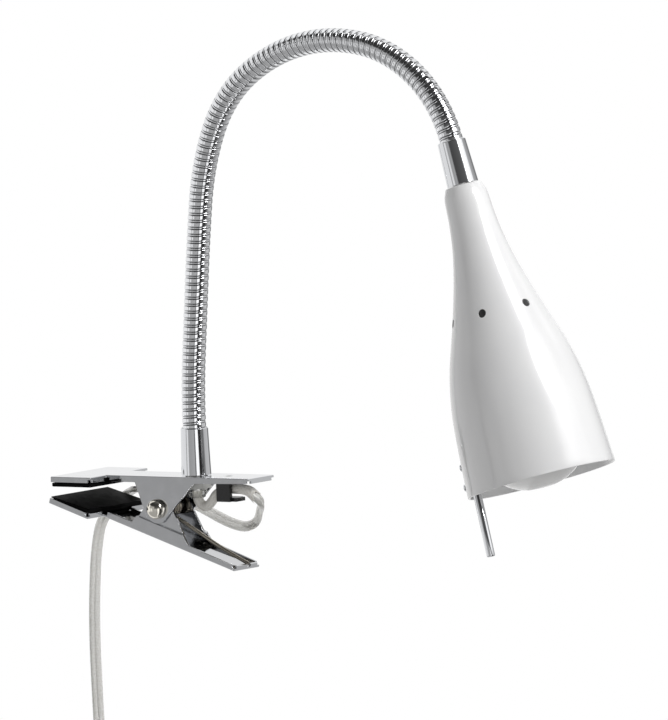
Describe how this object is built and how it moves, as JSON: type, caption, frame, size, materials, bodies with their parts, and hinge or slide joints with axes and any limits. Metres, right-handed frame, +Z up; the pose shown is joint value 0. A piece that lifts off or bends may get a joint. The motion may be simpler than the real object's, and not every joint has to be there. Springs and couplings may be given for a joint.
{
  "type": "clamp-on gooseneck spot lamp",
  "caption": "Clamp-on lamp with a sprung steel clamp, a flexible metal neck and a bottle-shaped white shade over a reflector bulb.",
  "frame": {"origin": "centre of the upper jaw's rubber pad, on its gripping face", "axes": "+X from the jaw tips towards the handles and the head, +Z up along the stem, Y along the jaw hinge"},
  "size_m": [0.3605, 0.0837, 0.4941],
  "materials": {
    "chrome": "polished chrome plate",
    "hose_chrome": "chrome-plated wound strip",
    "spring_steel": "drawn spring wire",
    "zinc_steel": "zinc-plated turned steel",
    "brass": "plain brass",
    "rubber": "moulded black rubber",
    "black_plastic": "moulded nylon",
    "lampholder_plastic": "moulded heat-proof plastic",
    "white_lacquer": "gloss lacquer outside, satin grey inside",
    "opal_glass": "frosted reflector bulb glass",
    "glass_fibre": "braided glass fibre sleeve",
    "clear_pvc": "clear twin cord over tinned copper",
    "white_plastic": "moulded white plastic"
  },
  "bodies": {
    "clamp": {"upper_jaw": "chrome", "upper_jaw_pad": "rubber", "pivot_pin": "zinc_steel", "pivot_cap_near": "chrome", "pivot_cap_far": "chrome", "torsion_spring": "spring_steel", "cable_clip": "black_plastic", "stem_ferrule": "chrome", "stem_nipple": "zinc_steel", "stem_lock_washer": "zinc_steel", "stem_nut": "zinc_steel", "cable_bush": "clear_pvc", "insulating_sleeve": "glass_fibre", "gooseneck_1": "hose_chrome", "cord_run": "clear_pvc", "switch_cover": "white_plastic", "switch_base": "white_plastic", "cord_run_below_switch": "clear_pvc", "cord_coil": "clear_pvc", "coil_tie": "black_plastic", "cord_tail": "clear_pvc", "plug_body": "white_plastic", "plug_pin_left": "chrome", "plug_pin_right": "chrome"},
    "lower_jaw": {"lower_jaw": "chrome", "lower_jaw_pad": "rubber", "torsion_spring_long_leg": "spring_steel"},
    "hose_2": {"gooseneck_2": "hose_chrome"},
    "hose_3": {"gooseneck_3": "hose_chrome"},
    "hose_4": {"gooseneck_4": "hose_chrome"},
    "hose_5": {"gooseneck_5": "hose_chrome"},
    "hose_6": {"gooseneck_6": "hose_chrome"},
    "hose_7": {"gooseneck_7": "hose_chrome"},
    "hose_8": {"gooseneck_8": "hose_chrome"},
    "head": {"gooseneck_9": "hose_chrome", "head_ferrule": "chrome", "head_nipple": "zinc_steel", "head_lock_washer": "zinc_steel", "head_nut": "zinc_steel", "shade": "white_lacquer", "lampholder_dome": "lampholder_plastic", "lampholder_skirt": "lampholder_plastic", "lampholder_shell": "brass", "lampholder_contact": "brass", "bulb_glass": "opal_glass", "bulb_cap": "zinc_steel", "aiming_rod": "chrome", "rod_bracket": "black_plastic", "rod_rivet_1": "chrome", "rod_rivet_2": "chrome"},
    "rocker": {"switch_rocker": "white_plastic"}
  },
  "joints": [
    {"name": "jaw_hinge", "type": "hinge", "parent": "clamp", "child": "lower_jaw", "pos_m": [0.04135, 0, -0.01065], "axis": [0, -1, 0], "range_deg": [0, 28], "stiffness_Nm_per_rad": 1.2, "springref_deg": -34.38},
    {"name": "neck_lean_1", "type": "hinge", "parent": "clamp", "child": "hose_2", "pos_m": [0.05874, 0, 0.04744], "axis": [0.9983, 0, -0.0589], "range_deg": [-18, 18]},
    {"name": "neck_bend_1", "type": "hinge", "parent": "hose_2", "child": "hose_3", "pos_m": [0.06256, 0, 0.08725], "axis": [0, 1, 0], "range_deg": [-18, 10]},
    {"name": "neck_lean_2", "type": "hinge", "parent": "hose_3", "child": "hose_4", "pos_m": [0.06705, 0, 0.127], "axis": [0.9921, 0, -0.1257], "range_deg": [-18, 18]},
    {"name": "neck_bend_2", "type": "hinge", "parent": "hose_4", "child": "hose_5", "pos_m": [0.07651, 0, 0.16572], "axis": [0, 1, 0], "range_deg": [-18, 8]},
    {"name": "neck_lean_3", "type": "hinge", "parent": "hose_5", "child": "hose_6", "pos_m": [0.10131, 0, 0.19632], "axis": [0.5605, 0, -0.8281], "range_deg": [-18, 18]},
    {"name": "neck_bend_3", "type": "hinge", "parent": "hose_6", "child": "hose_7", "pos_m": [0.13824, 0, 0.21082], "axis": [0, 1, 0], "range_deg": [-20, 6]},
    {"name": "neck_lean_4", "type": "hinge", "parent": "hose_7", "child": "hose_8", "pos_m": [0.17772, 0, 0.20765], "axis": [-0.3369, 0, -0.9415], "range_deg": [-18, 18]},
    {"name": "neck_bend_4", "type": "hinge", "parent": "hose_8", "child": "head", "pos_m": [0.20901, 0, 0.18378], "axis": [0, 1, 0], "range_deg": [-20, 8]},
    {"name": "switch_rock", "type": "hinge", "parent": "clamp", "child": "rocker", "pos_m": [-0.02685, 0.0212, -0.15115], "axis": [-1, 0, 0], "range_deg": [0, 14]}
  ]
}
